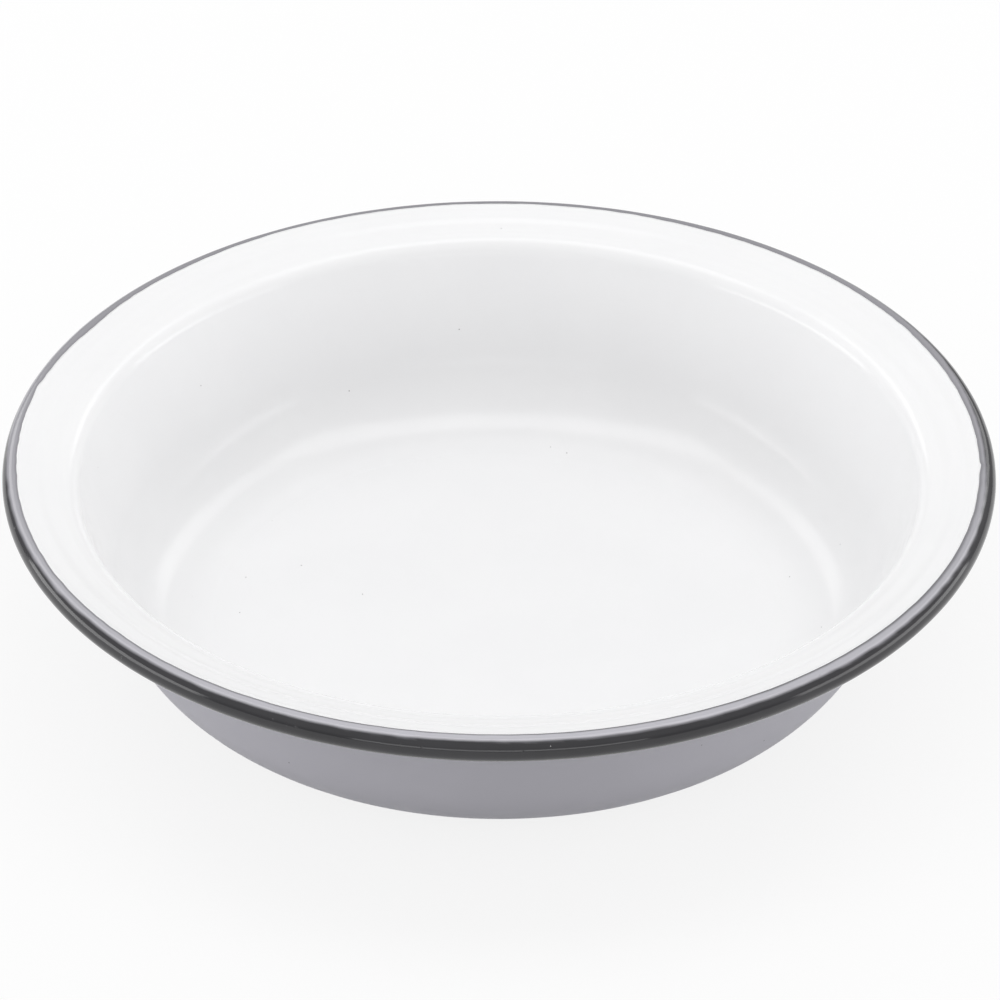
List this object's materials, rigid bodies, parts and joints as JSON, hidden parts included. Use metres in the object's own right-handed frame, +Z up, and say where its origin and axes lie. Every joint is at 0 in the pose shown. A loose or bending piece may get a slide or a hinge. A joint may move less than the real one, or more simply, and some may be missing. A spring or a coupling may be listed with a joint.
{
  "type": "enamelled pie dish",
  "caption": "Round enamelled steel pie dish with a flat floor, a leaning wall, a sloping flange and a grey rolled rim, for baking and serving.",
  "frame": {"origin": "centre of the underside of the base, on the surface that the dish stands on", "axes": "+Z up along the axis of the dish; X and Y lie level and are alike"},
  "size_m": [0.24, 0.24, 0.052],
  "materials": {
    "steel": "cold-drawn low-carbon steel sheet, hidden under the enamel",
    "ground_enamel": "dark ground coat that bonds the cover coats to the steel",
    "white_enamel": "glossy white enamel",
    "pale_grey_enamel": "glossy pale grey enamel",
    "rim_enamel": "glossy dark grey enamel, brushed on round the rolled rim"
  },
  "bodies": {
    "root": {"steel_shell": "steel", "inside_ground_coat": "ground_enamel", "outside_ground_coat": "ground_enamel", "inside_white_enamel": "white_enamel", "outside_pale_grey_enamel": "pale_grey_enamel", "rim_grey_enamel": "rim_enamel"}
  },
  "joints": []
}
